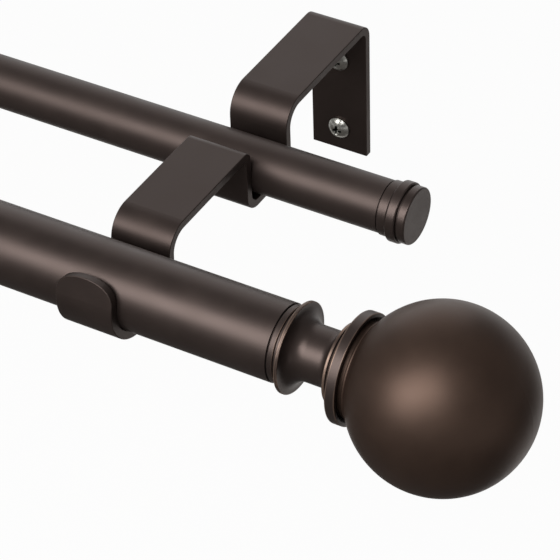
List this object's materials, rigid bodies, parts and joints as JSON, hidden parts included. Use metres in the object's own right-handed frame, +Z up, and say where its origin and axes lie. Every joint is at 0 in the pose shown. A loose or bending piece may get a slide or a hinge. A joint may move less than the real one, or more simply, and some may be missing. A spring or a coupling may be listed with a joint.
{
  "type": "double curtain pole",
  "caption": "Double telescopic curtain pole with ball finials, carried in folded strip wall brackets.",
  "frame": {"origin": "centre of the rectangle of four wall screws, in the plane of the wall", "axes": "+X along the poles towards the ends of their outer tubes, +Y into the wall, +Z up"},
  "size_m": [0.9996, 0.1876, 0.0727],
  "materials": {
    "pole_paint": "satin dark bronze paint on thin steel tube",
    "bracket_paint": "satin dark bronze paint on folded steel strip",
    "ball_paint": "satin dark bronze paint",
    "neck_paint": "satin dark bronze paint, rubbed to copper on its rims",
    "cap_paint": "satin dark bronze paint",
    "stud_steel": "plain rolled thread steel",
    "plug_plastic": "black moulded plastic",
    "screw_zinc": "bright zinc plate"
  },
  "bodies": {
    "wall_side": {"right_bracket": "bracket_paint", "left_bracket": "bracket_paint", "right_upper_wall_screw": "screw_zinc", "right_lower_wall_screw": "screw_zinc", "left_upper_wall_screw": "screw_zinc", "left_lower_wall_screw": "screw_zinc", "front_outer_tube": "pole_paint", "right_tube_plug": "plug_plastic", "right_finial_stud": "stud_steel", "right_finial_neck": "neck_paint", "right_finial_ball": "ball_paint", "rear_outer_tube": "pole_paint", "right_end_cap": "cap_paint"},
    "front_slide": {"front_inner_tube": "pole_paint", "left_tube_plug": "plug_plastic", "left_finial_stud": "stud_steel", "left_finial_neck": "neck_paint", "left_finial_ball": "ball_paint"},
    "rear_slide": {"rear_inner_tube": "pole_paint", "left_end_cap": "cap_paint"}
  },
  "joints": [
    {"name": "front_pole_slide", "type": "slide", "parent": "wall_side", "child": "front_slide", "axis": [-1, 0, 0], "range_m": [-0.05, 0.381]},
    {"name": "rear_pole_slide", "type": "slide", "parent": "wall_side", "child": "rear_slide", "axis": [-1, 0, 0], "range_m": [-0.044, 0.381]}
  ]
}
